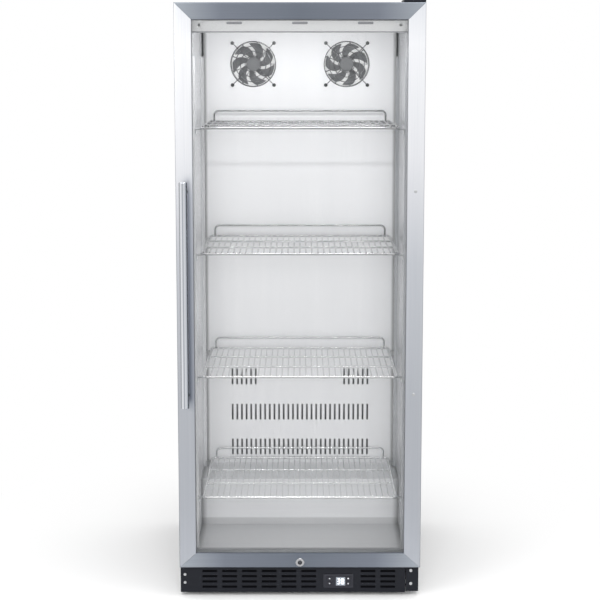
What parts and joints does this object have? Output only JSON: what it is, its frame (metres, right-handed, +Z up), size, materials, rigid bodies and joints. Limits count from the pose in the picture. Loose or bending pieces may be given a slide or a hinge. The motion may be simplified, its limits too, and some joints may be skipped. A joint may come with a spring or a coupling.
{
  "type": "reach-in refrigerator",
  "caption": "Upright reach-in refrigerator with a framed glass door on right-hand hinges, wire shelves, evaporator fans, a slotted duct, a keyed lock and a kick grille with a controller.",
  "frame": {"origin": "on the floor, under the middle of the whole box that the refrigerator fills, handle included", "axes": "+Z up; the door faces -Y; +X is on the right of someone who faces the door, the hinge side"},
  "size_m": [0.6, 0.67, 1.475],
  "materials": {
    "black_paint": "satin",
    "white_foam": "matt",
    "liner_steel": "brushed",
    "fastener": "plain",
    "chrome_wire": "polished",
    "grey_plastic": "satin",
    "aluminium": "satin",
    "white_plastic": "satin",
    "diffuser": "frosted",
    "black_plastic": "satin",
    "door_steel": "brushed",
    "glass": "clear",
    "grey_rubber": "matt",
    "handle_steel": "satin",
    "chrome": "polished",
    "display": "gloss",
    "button": "satin",
    "galvanised": "matt",
    "rubber": "matt",
    "copper": "drawn"
  },
  "bodies": {
    "cabinet": {"cabinet_shell": "black_paint", "machine_rear_cover": "black_paint", "front_frame": "black_paint", "insulation": "white_foam", "liner_floor": "liner_steel", "liner_walls": "liner_steel", "pilasters": "liner_steel", "shelf_clips": "fastener", "duct_panel": "liner_steel", "fan_frames": "grey_plastic", "fan_guards": "chrome_wire", "evaporator_coil": "aluminium", "drip_tray": "white_plastic", "header_housing": "white_plastic", "header_diffuser": "diffuser", "header_light_board": "white_plastic", "header_end_caps": "white_plastic", "screws": "fastener", "top_hinge": "black_paint", "top_hinge_cover": "black_plastic", "bottom_hinge": "black_paint", "kick_grille": "black_plastic", "controller_case": "black_plastic", "controller_display": "display", "base_frame": "galvanised", "levelling_feet": "black_plastic", "undertray": "galvanised", "compressor": "black_paint", "compressor_mounts": "rubber", "compressor_relay": "black_plastic", "condenser_coil": "aluminium", "condenser_fan_housing": "black_plastic", "drain_tube": "grey_rubber", "refrigerant_lines": "copper"},
    "door": {"door_stiles": "door_steel", "door_rails": "door_steel", "door_core": "black_plastic", "glass_outer": "glass", "glass_inner": "glass", "glass_spacer": "aluminium", "door_gasket": "grey_rubber", "handle_bar": "handle_steel", "handle_posts": "chrome", "stile_plugs": "grey_plastic", "lock_housing": "chrome"},
    "lock": {"lock_cylinder": "chrome", "lock_cam": "chrome"},
    "left_fan": {"fan_blade_left": "grey_plastic"},
    "right_fan": {"fan_blade_right": "grey_plastic"},
    "condenser_fan": {"condenser_fan_blade": "grey_plastic"},
    "button_1": {"controller_button_1": "button"},
    "button_2": {"controller_button_2": "button"},
    "button_3": {"controller_button_3": "button"},
    "button_4": {"controller_button_4": "button"},
    "wire_shelf_1": {"shelf_1": "chrome_wire"},
    "wire_shelf_2": {"shelf_2": "chrome_wire"},
    "wire_shelf_3": {"shelf_3": "chrome_wire"},
    "wire_shelf_4": {"shelf_4": "chrome_wire"}
  },
  "joints": [
    {"name": "door_hinge", "type": "hinge", "parent": "cabinet", "child": "door", "pos_m": [0.284, -0.2625, 0.077], "axis": [0, 0, 1], "range_deg": [0, 110]},
    {"name": "lock_turn", "type": "hinge", "parent": "door", "child": "lock", "pos_m": [0, -0.285, 0.091], "axis": [0, 1, 0], "range_deg": [0, 90]},
    {"name": "left_fan_spin", "type": "hinge", "parent": "cabinet", "child": "left_fan", "pos_m": [-0.127, 0.24, 1.32], "axis": [0, 1, 0], "continuous": true},
    {"name": "right_fan_spin", "type": "hinge", "parent": "cabinet", "child": "right_fan", "pos_m": [0.127, 0.24, 1.32], "axis": [0, 1, 0], "continuous": true},
    {"name": "condenser_fan_spin", "type": "hinge", "parent": "cabinet", "child": "condenser_fan", "pos_m": [-0.2, 0.1975, 0.09025], "axis": [1, 0, 0], "continuous": true},
    {"name": "button_1_press", "type": "slide", "parent": "cabinet", "child": "button_1", "axis": [0, 1, 0], "range_m": [0, 0.0008], "stiffness_N_per_m": 1500},
    {"name": "button_2_press", "type": "slide", "parent": "cabinet", "child": "button_2", "axis": [0, 1, 0], "range_m": [0, 0.0008], "stiffness_N_per_m": 1500},
    {"name": "button_3_press", "type": "slide", "parent": "cabinet", "child": "button_3", "axis": [0, 1, 0], "range_m": [0, 0.0008], "stiffness_N_per_m": 1500},
    {"name": "button_4_press", "type": "slide", "parent": "cabinet", "child": "button_4", "axis": [0, 1, 0], "range_m": [0, 0.0008], "stiffness_N_per_m": 1500},
    {"name": "shelf_1_lift", "type": "slide", "parent": "cabinet", "child": "wire_shelf_1", "axis": [0, 0, 1], "range_m": [0, 0.04]},
    {"name": "shelf_2_lift", "type": "slide", "parent": "cabinet", "child": "wire_shelf_2", "axis": [0, 0, 1], "range_m": [0, 0.04]},
    {"name": "shelf_3_lift", "type": "slide", "parent": "cabinet", "child": "wire_shelf_3", "axis": [0, 0, 1], "range_m": [0, 0.04]},
    {"name": "shelf_4_lift", "type": "slide", "parent": "cabinet", "child": "wire_shelf_4", "axis": [0, 0, 1], "range_m": [0, 0.04]}
  ]
}
